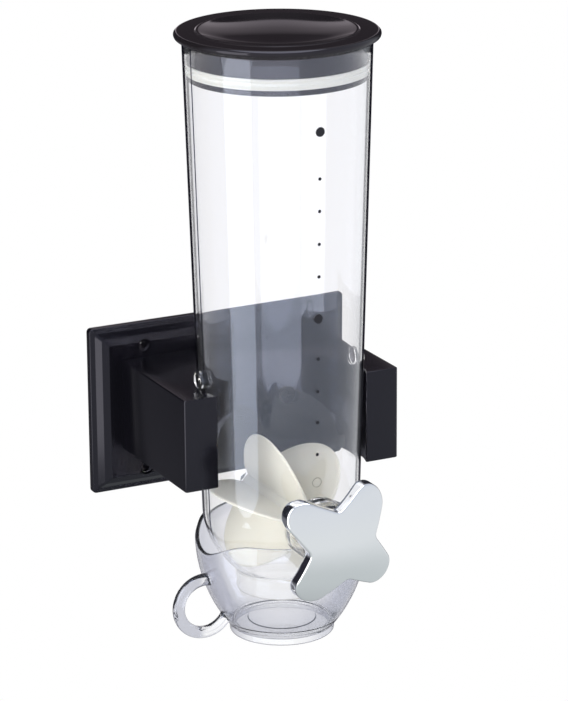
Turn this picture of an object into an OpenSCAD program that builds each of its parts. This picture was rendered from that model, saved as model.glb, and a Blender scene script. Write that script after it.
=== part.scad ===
// Wall-mounted dry food dispenser: a clear tapered canister that hangs in a black
// cradle, with a paddle wheel turned by a chrome knob and a pull-off catch cup.
// Millimetres. Origin: centre of the wall plate's back face. +Z up, -Y into the room.

/* [Wall plate] */
// Width of the wall plate
plate_w = 191; // [170:1:210]
// Height of the wall plate
plate_h = 113; // [104:0.5:124]
// Thickness of the wall plate at its flat field
plate_t = 11; // [9:0.5:14]
// Height of the plate's straight side
plate_side = 5; // [4:0.1:6]
// Width of the shallow border inside the side
border_w = 6; // [4:0.1:8]
// Rise of the shallow border
border_rise = 1.2; // [0.5:0.1:2]
// Width of the steep slope between the border and the flat field
slope_w = 4.5; // [3:0.1:6]
// Wall of the plate's hollow moulding
plate_wall = 2.5; // [2:0.1:3.5]
// Distance of the wall screws in from the plate's left and right edges
screw_in_x = 36.5; // [30:0.5:45]
// Distance of the wall screws in from the plate's top and bottom edges
screw_in_z = 14; // [12:0.5:18]
// Diameter of a wall screw hole
screw_hole_d = 5; // [4:0.1:6]
// Diameter of the countersink's mouth
screw_sink_d = 9; // [8:0.1:11]

/* [Cradle] */
// Distance of the canister's axis from the wall
reach = 91.2; // [88:0.1:110]
// Height of the two arms
arm_h = 61.4; // [50:0.1:70]
// Height of the arms' middle above the plate's middle
arm_rise = 4.6; // [0:0.1:8]
// Thickness of each arm at its front face
arm_w = 23.4; // [20:0.1:30]
// Distance that the arms pass the canister's axis
arm_front = 18.4; // [10:0.1:30]
// Wall of the cradle's hollow moulding
cradle_wall = 2.5; // [2:0.1:3.5]
// Gap between the canister and the cradle's bore, at the arms' top
cradle_gap = 2.2; // [0.5:0.1:3]
// Spacing of the two screws that hold the cradle to the plate
cradle_screw_x = 59.4; // [50:1:70]
// Shank diameter of a cradle screw
cradle_screw_d = 4; // [3:0.1:5]
// Head diameter of a cradle screw
cradle_head_d = 11; // [9:0.1:12]
// Head thickness of a cradle screw
cradle_head_t = 2.6; // [2:0.1:3]

/* [Canister] */
// Outside radius at the rim
can_top_r = 60; // [54:0.1:72]
// Outside radius at the wheel's axis
can_low_r = 51.1; // [42:0.1:58]
// Height of the rim above the wheel's axis
can_h = 307.6; // [250:0.1:370]
// Depth of the wheel's axis below the plate's middle
axis_drop = 51.3; // [48:0.1:60]
// Wall of the canister
can_wall = 2; // [1.6:0.1:2.6]
// Outside radius of the outlet
outlet_r = 29.5; // [24:0.1:34]
// Length of the outlet below the canister's round bottom
outlet_len = 4.4; // [2:0.1:10]
// Radius of the round lugs that rest on the arms
lug_r = 6; // [4:0.1:8]
// Length of each lug that bears on its arm
lug_seat = 2.8; // [2:0.1:6]
// Clearance between a lug and the arm under it
lug_gap = 0.3; // [0.2:0.1:0.5]
// Outside radius of the collar behind the knob
collar_r = 20.5; // [18:0.1:23]
// Wall of the bearing sleeve inside the collar
sleeve_wall = 2.5; // [1.5:0.1:3]
// Gap between the snap lugs and the cup's rim
snap_gap = 0.4; // [0.3:0.1:0.6]

/* [Wheel and shaft] */
// Gap between the vanes and the canister
vane_gap = 0.5; // [0.4:0.1:2]
// Number of vanes
vane_count = 6; // [4:1:8]
// Thickness of a vane
vane_t = 2.4; // [1.6:0.1:3.5]
// Angle of the first vane from the horizontal
vane_angle = 45; // [0:1:60]
// Wall of the flexible hub round the rigid core
hub_wall = 1.9; // [1.2:0.1:4]
// Wall of the rigid core outside the shaft's journal size
core_wall = 1.6; // [1:0.1:2.5]
// Width of the square part of the shaft
shaft_sq = 8; // [6:0.1:9.6]
// Radius of the front journal
journal_r = 6; // [5:0.1:7.5]
// Radius of the rear journal
tail_r = 3.5; // [3:0.1:3.8]
// Running clearance of a journal, on the radius
run_gap = 0.06; // [0.02:0.01:0.1]
// Wall of the front bush
bush_wall = 2; // [1.2:0.1:3]

/* [Knob] */
// Distance of the knob's domed front outside the canister's lower radius
knob_out = 41.1; // [36:0.1:50]
// Radius of the knob's domed front
dome_r = 92; // [80:1:140]
// Thickness of the knob
knob_t = 8; // [6:0.1:10]
// Reach of a lobe from the knob's middle
lobe_reach = 42.8; // [36:0.1:48]
// Radius of a lobe's round end
lobe_r = 11.4; // [9:0.1:13]
// Distance of a notch's bottom from the knob's middle
notch_r = 23.4; // [21:0.1:26]
// Radius of the rounding in a notch
notch_fillet = 5; // [3:0.1:8]
// Turn of the lobes from the diagonals
knob_turn = 7; // [-20:0.1:20]
// Wall of the plated shell
knob_wall = 1.6; // [1.2:0.1:2]
// Gap between the knob's back and the collar
knob_gap = 1.2; // [0.8:0.1:3]

/* [Lid] */
// Overhang of the lid's flange past the canister's rim
lid_over = 5.3; // [4:0.1:7]
// Thickness of the flange at its edge
flange_t = 6.5; // [5:0.1:8]
// Distance of the dish's edge inside the canister's rim
dish_in = 10.5; // [9:0.1:16]
// Depth of the dish at its middle
dish_depth = 8; // [4:0.1:10]
// Wall of the lid
lid_wall = 2.2; // [1.8:0.1:3]
// Depth of the plug's upper skirt below the flange
skirt_h = 13; // [10:0.1:16]
// Height of the gasket
gasket_h = 7; // [5:0.1:9]
// Height of the lip below the gasket
lip_h = 3.7; // [3:0.1:5]
// Depth of the gasket's groove
groove_d = 1.6; // [1:0.1:2]
// Gap between the plug and the canister
plug_gap = 0.8; // [0.5:0.1:1.2]
// Gap between the gasket and the canister
gasket_gap = 0.3; // [0.3:0.1:0.5]

/* [Catch cup] */
// Height of the cup
cup_h = 74; // [70:0.1:84]
// Outside radius of the foot ring
foot_r = 34; // [30:0.1:38]
// Height of the foot ring
foot_h = 5.5; // [4:0.1:7]
// Gap between the cup's rim and the canister
rim_gap = 0.6; // [0.5:0.1:2]
// Bulge of the bowl past its rim
bowl_out = 2.3; // [1:0.1:6]
// Wall of the cup
cup_wall = 2.2; // [1.8:0.1:2.4]
// Overlap of the cup over the canister, up to the wheel's axis
cup_below_axis = 11.9; // [8:0.1:16]
// Gap between the collar and the notch for it in the cup's rim
notch_gap = 1; // [0.5:0.1:2]
// Depth of the dip in the rim above the handle
dip_d = 12; // [6:0.1:14]
// Half the width of the dip
dip_w = 38; // [20:0.1:42]
// Radius of the handle ring's centre line
ring_r = 18.1; // [16:0.1:20]
// Radius of the handle's round section
grip_r = 4; // [3:0.1:4.2]
// Height of the handle ring's centre above the foot
ring_z = 24.8; // [24:0.1:30]
// Distance of the ring's centre outside the middle of the bowl's curve
ring_out = 7; // [5:0.1:10]

/* [Hidden] */
$fn = 96;
eps = 0.01;

// Colours
black_c = [0.13, 0.12, 0.14];
clear_c = [0.85, 0.88, 0.95, 0.35];
ivory_c = [0.90, 0.89, 0.84];
white_c = [0.95, 0.95, 0.94];
chrome_c = [0.80, 0.82, 0.84];
steel_c = [0.65, 0.66, 0.68];
grey_c = [0.55, 0.56, 0.58];

// Canister: its inside, and its radius at a height above the wheel's axis
axis_z = -axis_drop;
can_slope = (can_top_r - can_low_r) / can_h;
can_low_in = can_low_r - can_wall;
can_top_in = can_top_r - can_wall;
function can_r(z) = can_low_r + can_slope * (z - axis_z);
rim_z = axis_z + can_h;

// Cradle: the block between the plate and the arms' front faces
arm_top = arm_rise + arm_h / 2;
arm_bottom = arm_rise - arm_h / 2;
bore_r = can_r(arm_top) + cradle_gap;
lug_len = cradle_gap + lug_seat;
arm_out_x = sqrt(bore_r ^ 2 - arm_front ^ 2) + arm_w;
block_d = reach - plate_t + arm_front;
head_front = reach - sqrt(can_r(arm_top) ^ 2 - (cradle_screw_x / 2 - cradle_head_d / 2) ^ 2) - 0.8;
boss_r = cradle_head_d / 2 + cradle_wall;

// Bearings along the wheel's axis, as distances in front of the canister's axis
knob_reach = can_low_r + knob_out;
bush_r = journal_r + bush_wall;
sleeve_r = bush_r + sleeve_wall;
core_r = journal_r + core_wall;
hub_r = core_r + hub_wall;
collar_reach = knob_reach - dome_r + sqrt((dome_r - knob_t) ^ 2 - collar_r ^ 2) - knob_gap;
sleeve_front = collar_reach - 6;
sleeve_back = can_low_in - 1.5;
clip_t = 1.6;
clip_r = journal_r + 3;
clip_groove = 0.8;
clip_y = sleeve_back - clip_t - 0.2;
core_front = clip_y - 0.4;
socket_r = tail_r + 3;
socket_len = 7;
core_back = -(can_low_in - socket_len - 0.6);
wheel_r = can_low_in - vane_gap;
outlet_drop = can_low_r + outlet_len;
bush_flange_r = bush_r + 1.8;
bush_flange_t = 1.5;

// Knob: straight sides run tangentially from each lobe's end into the notches
lobe_c = lobe_reach - lobe_r;
notch_c = notch_r + notch_fillet;
lobe_to_notch = [notch_c * cos(45) - lobe_c, notch_c * sin(45)];
side_angle = atan2(lobe_to_notch[1], lobe_to_notch[0])
    - acos((lobe_r + notch_fillet) / norm(lobe_to_notch));
insert_r = collar_r - can_wall - 1.5;
insert_back = sleeve_front + bush_flange_t + 0.4;
insert_gap = 0.3;
insert_front = knob_reach - knob_wall - insert_gap;

// Wall screws
screw_x = plate_w - 2 * screw_in_x;
screw_z = plate_h - 2 * screw_in_z;

// Lid, as heights above the canister's rim
lid_r = can_top_r + lid_over;
dish_r = can_top_r - dish_in;
plug_r = can_top_in - (skirt_h + gasket_h + lip_h) * can_slope - plug_gap;
gasket_out = can_top_in - (skirt_h + gasket_h) * can_slope - gasket_gap;
plug_h = skirt_h + gasket_h + lip_h;

// Cup: heights above its foot
foot_z = axis_z - cup_below_axis - cup_h;
rim_r = can_low_r + rim_gap + cup_wall;
snap_r = rim_r - cup_wall - snap_gap;
bowl_r = rim_r + bowl_out;
bowl_z = cup_h - 11;
floor_z = foot_h + 2.5;
bowl_pts = [
    [foot_r + 1, foot_h],
    [bowl_r - 11.2, 0.285 * bowl_z],
    [bowl_r - 0.7, 0.603 * bowl_z],
    [bowl_r, bowl_z]
];
// The handle ring is centred outside the middle of the bowl's curve
ring_x = bez(bowl_pts, 0.5)[0] + ring_out;

// Cubic curve through four control points
function bez(p, t) =
    p[0] * (1 - t) ^ 3 + 3 * p[1] * t * (1 - t) ^ 2 + 3 * p[2] * t ^ 2 * (1 - t) + p[3] * t ^ 3;
function arc(c, r, a0, a1, n) =
    [for (i = [0:n]) c + r * [cos(a0 + (a1 - a0) * i / n), sin(a0 + (a1 - a0) * i / n)]];

module along_y(y0, y1, r, r2 = -1) {
    // Cylinder on the wheel's axis between two distances in front of the canister's axis
    translate([0, -reach - y1, axis_z])
        rotate([-90, 0, 0])
            cylinder(h = y1 - y0, r1 = r2 < 0 ? r : r2, r2 = r);
}

// Half of the plate's section: distance out from the middle, distance off the wall
function plate_edge(half, inset) = [
    [half - inset, 0],
    [half - inset, plate_side - 0.8 - inset / 2],
    [half - inset - 0.25, plate_side - 0.25 - inset / 2],
    [half - inset - 0.8, plate_side - inset / 2],
    [half - border_w, plate_side + border_rise - inset],
    [half - border_w - slope_w, plate_t - inset]
];

module plate_section(half, length, inset) {
    edge = plate_edge(half, inset);
    linear_extrude(length, center = true)
        polygon(concat(
            [for (p = edge) [p[0], -p[1]]],
            [for (i = [len(edge) - 1:-1:0]) [-edge[i][0], -edge[i][1]]]
        ));
}

module plate_form(inset) {
    // The plate's moulded outside, shrunk by an inset
    intersection() {
        plate_section(plate_w / 2, plate_h, inset);
        rotate([0, 90, 0]) plate_section(plate_h / 2, plate_w, inset);
    }
}

module at_wall_screws() {
    for (x = [-1, 1], z = [-1, 1])
        translate([x * screw_x / 2, 0, z * screw_z / 2])
            rotate([90, 0, 0])
                children();
}

module at_cradle_screws() {
    for (x = [-1, 1])
        translate([x * cradle_screw_x / 2, 0, arm_rise])
            rotate([90, 0, 0])
                children();
}

module wall_plate() {
    color(black_c)
    difference() {
        union() {
            difference() {
                plate_form(0);
                plate_form(plate_wall);
            }
            // Ribs that bear on the wall
            intersection() {
                plate_form(plate_wall - 0.5);
                union() {
                    translate([-plate_w / 2, -plate_t, -plate_wall / 2])
                        cube([plate_w, plate_t, plate_wall]);
                    for (x = [-screw_x / 2, 0, screw_x / 2])
                        translate([x - plate_wall / 2, -plate_t, -plate_h / 2])
                            cube([plate_wall, plate_t, plate_h]);
                    at_wall_screws() cylinder(h = plate_t, r = screw_sink_d / 2 + 2);
                    at_cradle_screws() cylinder(h = plate_t, r = cradle_screw_d / 2 + 3);
                }
            }
        }
        at_wall_screws() {
            translate([0, 0, -1]) cylinder(h = plate_t + 2, r = screw_hole_d / 2);
            translate([0, 0, plate_t - 2.2])
                cylinder(h = 2.2 + eps, r1 = screw_hole_d / 2, r2 = screw_sink_d / 2);
        }
        at_cradle_screws()
            translate([0, 0, 1.5]) cylinder(h = plate_t, r = cradle_screw_d / 2);
    }
}

module cradle_bore(extra) {
    // The round space that the canister drops into
    translate([0, -reach, arm_bottom - 1])
        cylinder(h = arm_h + 2, r = bore_r + extra, $fn = 192);
}

module cradle() {
    color(black_c)
    difference() {
        union() {
            difference() {
                translate([-arm_out_x, -reach - arm_front, arm_bottom])
                    cube([2 * arm_out_x, block_d, arm_h]);
                difference() {
                    translate([
                        cradle_wall - arm_out_x,
                        cradle_wall - reach - arm_front,
                        arm_bottom + cradle_wall
                    ])
                        cube([2 * (arm_out_x - cradle_wall), block_d, arm_h - 2 * cradle_wall]);
                    cradle_bore(cradle_wall);
                }
            }
            intersection() {
                at_cradle_screws()
                    translate([0, 0, plate_t]) cylinder(h = reach, r = boss_r);
                translate([-arm_out_x, -reach, arm_bottom])
                    cube([2 * arm_out_x, reach - plate_t, arm_h]);
            }
        }
        cradle_bore(0);
        at_cradle_screws() {
            translate([0, 0, plate_t - 1])
                cylinder(h = reach, r = cradle_screw_d / 2 + 0.2);
            translate([0, 0, head_front - cradle_head_t])
                cylinder(h = reach, r = cradle_head_d / 2 + 0.2);
        }
    }
}

module cradle_screws() {
    color(black_c)
    at_cradle_screws() {
        difference() {
            translate([0, 0, head_front - cradle_head_t])
                cylinder(h = cradle_head_t, r = cradle_head_d / 2);
            for (a = [0, 90])
                rotate(a)
                    translate([-2.6, -0.5, head_front - 1.4])
                        cube([5.2, 1, 2]);
        }
        translate([0, 0, 1.6])
            cylinder(h = head_front - cradle_head_t - 1.6 + eps, r = cradle_screw_d / 2);
    }
}

module can_solid(inset) {
    // The tapered tube with its round bottom
    translate([0, -reach, axis_z]) {
        cylinder(
            h = can_h + inset,
            r1 = can_low_r - inset,
            r2 = can_top_r - inset + inset * can_slope,
            $fn = 192
        );
        sphere(r = can_low_r - inset, $fn = 192);
    }
}

module canister() {
    color(clear_c)
    difference() {
        union() {
            can_solid(0);
            translate([0, -reach, axis_z - outlet_drop])
                cylinder(h = outlet_drop, r = outlet_r);
            along_y(can_low_r - 4, collar_reach, collar_r);
            // Lugs that rest on the cradle's arms
            for (x = [-1, 1])
                translate([0, -reach, arm_top + lug_gap + lug_r])
                    rotate([0, x * 90, 0])
                        cylinder(h = can_r(arm_top) + lug_len, r = lug_r);
            // Snap lugs for the cup
            intersection() {
                for (a = [0:90:270])
                    rotate_about_can(a + 35)
                        translate([can_low_r - 8, -4, -cup_below_axis - 4])
                            cube([snap_r, 8, 3.5]);
                translate([0, -reach, axis_z]) cylinder(h = 60, r = snap_r, center = true);
            }
        }
        difference() {
            can_solid(can_wall);
            along_y(sleeve_back, collar_reach, sleeve_r);
            along_y(-can_low_r, -(can_low_in - socket_len), socket_r);
        }
        // Outlet
        translate([0, -reach, axis_z - outlet_drop - 1])
            cylinder(h = outlet_drop, r = outlet_r - can_wall);
        // Room round the sleeve for the knob's hub
        difference() {
            along_y(can_low_r + 0.6, collar_reach + 1, collar_r - can_wall);
            along_y(can_low_r - 4, sleeve_front, sleeve_r);
        }
        along_y(can_low_in - 10, collar_reach + 1, bush_r);
        along_y(-(can_low_in - 1), 0, tail_r + run_gap);
    }
}

module rotate_about_can(a) {
    translate([0, -reach, axis_z]) rotate([0, 0, a]) children();
}

module front_bush() {
    color(grey_c)
    difference() {
        union() {
            along_y(sleeve_back, sleeve_front, bush_r);
            along_y(sleeve_front, sleeve_front + bush_flange_t, bush_flange_r);
        }
        along_y(0, collar_reach, journal_r + run_gap);
    }
}

module lid() {
    sag = (dish_r ^ 2 + dish_depth ^ 2) / (2 * dish_depth);
    half = asin(dish_r / sag);
    top = flange_t;
    roll = 2.2;
    color(black_c)
    translate([0, -reach, rim_z])
        rotate_extrude($fn = 192)
            polygon(concat(
                arc([0, top - dish_depth + sag], sag, -90, -90 + half, 16),
                [[dish_r + 0.8, top - 0.35], [dish_r + 1.8, top - 0.05], [dish_r + 3, top]],
                arc([lid_r - roll, top - roll], roll, 90, 0, 6),
                arc([can_top_r + 1, top - roll], lid_r - can_top_r - 1, 0, -90, 6),
                [
                    [plug_r, 0],
                    [plug_r, -skirt_h],
                    [plug_r - groove_d, -skirt_h],
                    [plug_r - groove_d, -skirt_h - gasket_h],
                    [plug_r, -skirt_h - gasket_h],
                    [plug_r, -plug_h],
                    [plug_r - groove_d - lid_wall, -plug_h],
                    [plug_r - groove_d - lid_wall, top - lid_wall - 1]
                ],
                arc([0, top - dish_depth + sag], sag + lid_wall, -90 + half * 0.99, -90, 16)
            ));
}

module lid_gasket() {
    color(white_c)
    translate([0, -reach, rim_z - skirt_h - gasket_h])
        rotate_extrude($fn = 192)
            polygon(concat(
                [[plug_r - groove_d, gasket_h], [plug_r - groove_d, 0]],
                [for (rib = [0, 1], i = [0:6])
                    [gasket_out - 0.7 * (1 - sin(30 * i)), gasket_h * (rib + i / 6) / 2]]
            ));
}

module paddle_vanes() {
    color(ivory_c)
    difference() {
        intersection() {
            translate([0, -reach, axis_z]) sphere(r = wheel_r, $fn = 192);
            union() {
                for (i = [0:vane_count - 1])
                    translate([0, -reach, axis_z])
                        rotate([0, -vane_angle - i * 360 / vane_count, 0])
                            translate([0, -wheel_r, -vane_t / 2])
                                cube([wheel_r, 2 * wheel_r, vane_t]);
                along_y(core_back, core_front, hub_r);
            }
        }
        along_y(-wheel_r - 1, wheel_r + 1, core_r);
        // Room for the bearings at both ends of the axis
        along_y(core_front, wheel_r + 1, sleeve_r + 0.8);
        along_y(-wheel_r - 1, core_back, socket_r + 0.8);
    }
}

module square_on_axis(y0, y1, w) {
    translate([-w / 2, -reach - y1, axis_z - w / 2]) cube([w, y1 - y0, w]);
}

module wheel_core() {
    color(grey_c)
    difference() {
        along_y(core_back, core_front, core_r);
        square_on_axis(core_back - 1, core_front + 1, shaft_sq + 0.2);
    }
}

module drive_shaft() {
    nose = insert_front - 6;
    color(steel_c)
    difference() {
        union() {
            intersection() {
                square_on_axis(core_back - 0.3, core_front + 0.3, shaft_sq);
                along_y(core_back - 0.3, core_front + 0.3, journal_r);
            }
            along_y(core_front + 0.2, clip_y, journal_r);
            along_y(clip_y - eps, clip_y + clip_t + eps, journal_r - clip_groove);
            along_y(clip_y + clip_t, insert_back, journal_r);
            square_in_knob(insert_back - eps, nose, shaft_sq);
            along_y(-(can_low_in - 1.5), core_back - 0.2, tail_r);
        }
        along_y(nose - 9, nose + 1, 1.25);
    }
}

module square_in_knob(y0, y1, w) {
    intersection() {
        square_on_axis(y0, y1, w);
        along_y(y0, y1, journal_r);
    }
}

module shaft_clip() {
    color(steel_c)
    difference() {
        along_y(clip_y, clip_y + clip_t, clip_r);
        along_y(clip_y - 1, clip_y + clip_t + 1, journal_r - clip_groove);
        translate([-4, -reach - clip_y - clip_t - 1, axis_z - clip_r - 1])
            cube([8, clip_t + 2, clip_r + 1]);
    }
}

module on_knob() {
    translate([0, -reach, axis_z]) rotate([90, 0, 0]) rotate(knob_turn) children();
}

module lobes(grow) {
    // Four round lobes with notches between them
    polygon([
        for (k = [0:3])
            let (m = 45 + 90 * k)
            for (p = concat(
                arc([lobe_c, 0], lobe_r + grow, -side_angle, side_angle, 18),
                arc(
                    notch_c * [cos(45), sin(45)],
                    notch_fillet - grow,
                    side_angle + 180,
                    270 - side_angle,
                    8
                )
            ))
                [p[0] * cos(m) - p[1] * sin(m), p[0] * sin(m) + p[1] * cos(m)]
    ]);
}

module dome(depth) {
    // Ball behind the knob's domed front, at a depth under it
    translate([0, 0, knob_reach - dome_r]) sphere(r = dome_r - depth, $fn = 192);
}

module knob_shell() {
    color(chrome_c)
    on_knob()
        difference() {
            intersection() {
                linear_extrude(knob_reach) lobes(0);
                dome(0);
            }
            intersection() {
                linear_extrude(knob_reach) lobes(-knob_wall);
                dome(knob_wall);
            }
            dome(knob_t);
        }
}

module knob_insert() {
    color(grey_c)
    difference() {
        union() {
            along_y(insert_back, knob_reach - knob_t, insert_r);
            on_knob()
                difference() {
                    intersection() {
                        linear_extrude(knob_reach) lobes(-knob_wall - 0.2);
                        dome(knob_wall + insert_gap);
                    }
                    dome(knob_t - 0.8);
                }
        }
        square_on_axis(insert_back - 1, insert_front - 5.5, shaft_sq + 0.2);
        along_y(insert_back, insert_front + 1, 1.8);
        along_y(insert_front - 3, insert_front + 1, 3.4);
    }
}

module knob_screw() {
    color(steel_c)
    union() {
        along_y(insert_front - 2.9, insert_front - 0.8, 3);
        along_y(insert_front - 14, insert_front - 2.9, 1.2);
    }
}

module cup_outline(inset) {
    n = 20;
    neck = [
        [bowl_r - inset, bowl_z],
        [bowl_r - inset, bowl_z + 5],
        [rim_r - inset + 0.6, cup_h - 4],
        [rim_r - inset, cup_h]
    ];
    polygon(concat(
        [[0, inset == 0 ? foot_h : floor_z]],
        inset == 0 ? [] : [[bez(bowl_pts, 0.05)[0] - inset - 3, floor_z]],
        [for (i = [(inset == 0 ? 0 : 3):n]) bez(bowl_pts, i / n) - [inset, 0]],
        [for (i = [1:8]) bez(neck, i / 8)],
        inset == 0 ? [] : [[rim_r - inset, cup_h + 1]],
        [[0, cup_h + (inset == 0 ? 0 : 1)]]
    ));
}

module cup_bowl() {
    // The bowl on its foot ring, with the handle and the dip in the rim above it
    difference() {
        union() {
            rotate_extrude($fn = 192) cup_outline(0);
            difference() {
                cylinder(h = foot_h + 1, r = foot_r);
                translate([0, 0, -1]) cylinder(h = foot_h + 1, r = foot_r - cup_wall);
            }
            translate([-ring_x, 0, ring_z])
                rotate([90, 0, 0])
                    rotate_extrude() translate([ring_r, 0]) circle(r = grip_r, $fn = 48);
        }
        rotate_extrude($fn = 192) cup_outline(cup_wall);
        rotate([90, 0, -90])
            linear_extrude(bowl_r + 10)
                polygon(concat(
                    [[-dip_w, cup_h + 1]],
                    [for (i = [-12:12])
                        [dip_w * i / 12, cup_h - dip_d * (1 + cos(180 * i / 12)) / 2]],
                    [[dip_w, cup_h + 1]]
                ));
    }
}

module catch_cup() {
    color(clear_c)
    difference() {
        translate([0, -reach, foot_z]) cup_bowl();
        // Notch that drops clear of the collar
        along_y(outlet_r, bowl_r + 5, collar_r + notch_gap);
    }
}

wall_plate();
cradle();
cradle_screws();
canister();
front_bush();
lid();
lid_gasket();
paddle_vanes();
wheel_core();
drive_shaft();
shaft_clip();
knob_insert();
knob_screw();
knob_shell();
catch_cup();
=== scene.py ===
import math

import bmesh
import bpy
from mathutils import Matrix, Vector


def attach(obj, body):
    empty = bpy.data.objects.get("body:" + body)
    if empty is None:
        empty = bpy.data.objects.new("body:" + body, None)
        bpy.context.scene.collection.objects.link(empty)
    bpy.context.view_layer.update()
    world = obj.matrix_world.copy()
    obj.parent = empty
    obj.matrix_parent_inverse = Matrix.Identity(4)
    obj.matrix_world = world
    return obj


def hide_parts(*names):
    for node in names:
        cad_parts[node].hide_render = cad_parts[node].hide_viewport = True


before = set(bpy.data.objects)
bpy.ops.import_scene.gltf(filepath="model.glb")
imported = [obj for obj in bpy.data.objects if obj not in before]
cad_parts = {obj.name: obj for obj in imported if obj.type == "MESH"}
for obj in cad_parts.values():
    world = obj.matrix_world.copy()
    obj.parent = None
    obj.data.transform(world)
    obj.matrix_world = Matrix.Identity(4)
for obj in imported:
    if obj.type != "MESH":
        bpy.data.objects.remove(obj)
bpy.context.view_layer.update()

# A clear canister for dry food in a black cradle on a wall plate, with a paddle wheel, a
# chrome knob and a clear catch cup. Each large CAD piece is replaced by a detailed mesh of
# its size, and the small inner pieces keep their CAD meshes.


# ---------------------------------------------------------------- sizes
# Millimetres. The wall is at Y 0, the room towards -Y, and Z 0 is the plate's middle.

MM = 0.001
REACH, AXIS_Z = 91.2, -51.3
AXIS = Vector((0, -REACH, AXIS_Z))  # where the wheel's axis crosses the canister's axis
RIM_Z, FOOT_Z = 256.3, -137.2

# Plate, its four wall screws, and the cradle on two screws of its own
PLATE_W, PLATE_H, PLATE_T, PLATE_WALL = 191, 113, 11, 2.5
WALL_SCREW_X, WALL_SCREW_Z, WALL_SCREW_R = 59, 42.5, 2.5
CRADLE_SCREW_X, CRADLE_HEAD_R, CRADLE_HEAD_Y = 29.7, 5.7, 40.4
ARM_X, ARM_Z, ARM_H, ARM_FRONT = 76.1, 4.6, 61.4, 18.4
CRADLE_BORE_R = 55.8

# Canister: radii at its rim and at the wheel's axis, and what stands out from it
CAN_TOP_R, CAN_LOW_R, CAN_H, CAN_WALL = 60, 51.1, 307.6, 2
CAN_SLOPE = (CAN_TOP_R - CAN_LOW_R) / CAN_H
OUTLET_R, OUTLET_END = 29.5, -55.5
COLLAR_R, SLEEVE_R, BUSH_R, TAIL_R = 20.5, 10.5, 8.02, 3.56
LUG_R, LUG_END, LUG_Z = 6, 58.6, 41.6

# Lid: its dish and flange, then the plug under it with the gasket's groove
DISH_R, DISH_DEPTH, FLANGE_T, LID_WALL = 49.5, 8, 6.5, 2.2
PLUG_R, GROOVE_R, SKIRT_H, GASKET_H, PLUG_H = 56.5, 54.9, 13, 7, 23.7

# Cup: heights are over its foot, and the dip is in the rim above the handle
CUP_H, CUP_WALL, CUP_RIM_R = 74, 2.2, 53.9
BOWL_FOOT, FLOOR_H = 5.5, 8.5
DIP_HALF_W, DIP_D = 38, 12

WHEEL_R, HUB_R, CORE_R, VANES, VANE_TURN = 48.5, 9.4, 7.6, 6, 45

# Knob: its front's distance from the axis, then its dome, thickness, turn and lobes
KNOB_FRONT, DOME_R, KNOB_T, KNOB_TURN = 92.2, 92.0, 8.0, 7
LOBE_R, LOBE_REACH, NOTCH_R, NOTCH_FILLET = 11.4, 42.8, 23.4, 5.0

ROUND, FINE_ROUND = 48, 224  # sides of a small turned form and of a large one


# ---------------------------------------------------------------- outlines

def arc(cx, cy, r, a0, a1, n):
    """Points on a circle from angle a0 to a1, in degrees."""
    out = []
    for i in range(n + 1):
        a = math.radians(a0 + (a1 - a0) * i / n)
        out.append((cx + r * math.cos(a), cy + r * math.sin(a)))
    return out


def bezier(pts, t):
    """Point on the Bezier curve through four control points."""
    k = ((1 - t) ** 3, 3 * t * (1 - t) ** 2, 3 * t * t * (1 - t), t ** 3)
    return tuple(sum(w * p[i] for w, p in zip(k, pts)) for i in (0, 1))


def between(a, b):
    """Three points along the straight line between two."""
    return [(a[0] + (b[0] - a[0]) * t, a[1] + (b[1] - a[1]) * t) for t in (0.25, 0.5, 0.75)]


def rounded(pts, closed=True, n=5):
    """Polyline of (x, y) or (x, y, radius) with its corners rounded."""
    out = []
    count = len(pts)
    for i, p in enumerate(pts):
        r = p[2] if len(p) > 2 else 0
        if r <= 0 or (not closed and i in (0, count - 1)):
            out.append((p[0], p[1]))
            continue
        c = Vector(p[:2])
        a = Vector(pts[i - 1][:2]) - c
        b = Vector(pts[(i + 1) % count][:2]) - c
        half = a.angle(b) / 2
        # a rounding takes just under half of each side next to it
        reach = min(r / math.tan(half), 0.49 * a.length, 0.49 * b.length)
        p0 = c + a.normalized() * reach
        p3 = c + b.normalized() * reach
        k = 4 / 3 * math.tan((math.pi - 2 * half) / 4) * math.tan(half)
        ctrl = (p0, p0 + (c - p0) * k, p3 + (c - p3) * k, p3)
        out += [bezier(ctrl, j / n) for j in range(n + 1)]
    return out


def inset(outline, depth):
    """Moves each point of a closed counter-clockwise outline inwards."""
    least = 0.35  # keeps the points at sharp corners from moving too far
    out = []
    count = len(outline)
    for i, p in enumerate(outline):
        a = (Vector(p) - Vector(outline[i - 1])).normalized()
        b = (Vector(outline[(i + 1) % count]) - Vector(p)).normalized()
        lean = a + b
        lean.normalize()
        grow = depth / max(least, lean.dot(a))
        out.append((p[0] - lean.y * grow, p[1] + lean.x * grow))
    return out


# ---------------------------------------------------------------- meshes

def link_object(name, mesh):
    ob = bpy.data.objects.new(name, mesh)
    bpy.context.scene.collection.objects.link(ob)
    return ob


def from_data(name, verts, faces):
    """Object from vertices in millimetres."""
    weld, least_edge = 2e-6, 1e-6
    me = bpy.data.meshes.new(name)
    me.from_pydata([tuple(c * MM for c in v) for v in verts], [], faces)
    bm = bmesh.new()
    bm.from_mesh(me)
    bmesh.ops.remove_doubles(bm, verts=bm.verts, dist=weld)
    bmesh.ops.dissolve_degenerate(bm, dist=least_edge, edges=bm.edges)
    bmesh.ops.recalc_face_normals(bm, faces=bm.faces)
    bm.to_mesh(me)
    bm.free()
    return link_object(name, me)


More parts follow.
